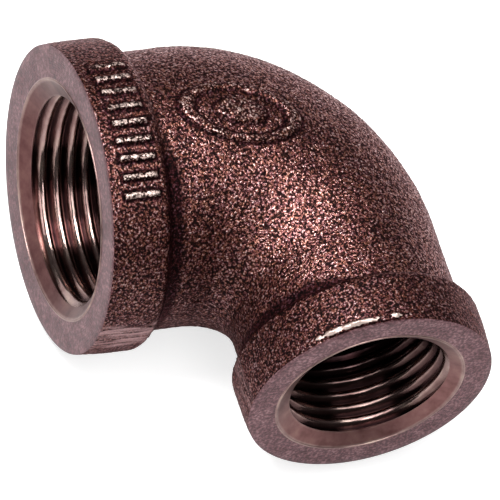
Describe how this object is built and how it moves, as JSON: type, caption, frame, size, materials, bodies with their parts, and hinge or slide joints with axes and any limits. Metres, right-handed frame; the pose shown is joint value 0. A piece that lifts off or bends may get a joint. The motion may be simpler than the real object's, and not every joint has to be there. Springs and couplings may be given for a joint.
{
  "type": "reducing pipe elbow",
  "caption": "Ninety-degree reducing pipe elbow, cast, with a band round each mouth and a female taper thread in each socket.",
  "frame": {"origin": "where the axes of the two ports cross", "axes": "-X points out of the large port, -Y points out of the small port, +Z is the normal of the plane of the two axes, towards the marked side"},
  "size_m": [0.0448, 0.0501, 0.0375],
  "materials": {
    "cast_skin": "sandy as-cast skin, dark brown, lightly oiled",
    "cut_thread": "bright tool-cut metal"
  },
  "bodies": {
    "root": {"elbow_body": "cast_skin", "large_end_band": "cast_skin", "small_end_band": "cast_skin", "large_end_thread": "cut_thread", "small_end_thread": "cut_thread"}
  },
  "joints": []
}
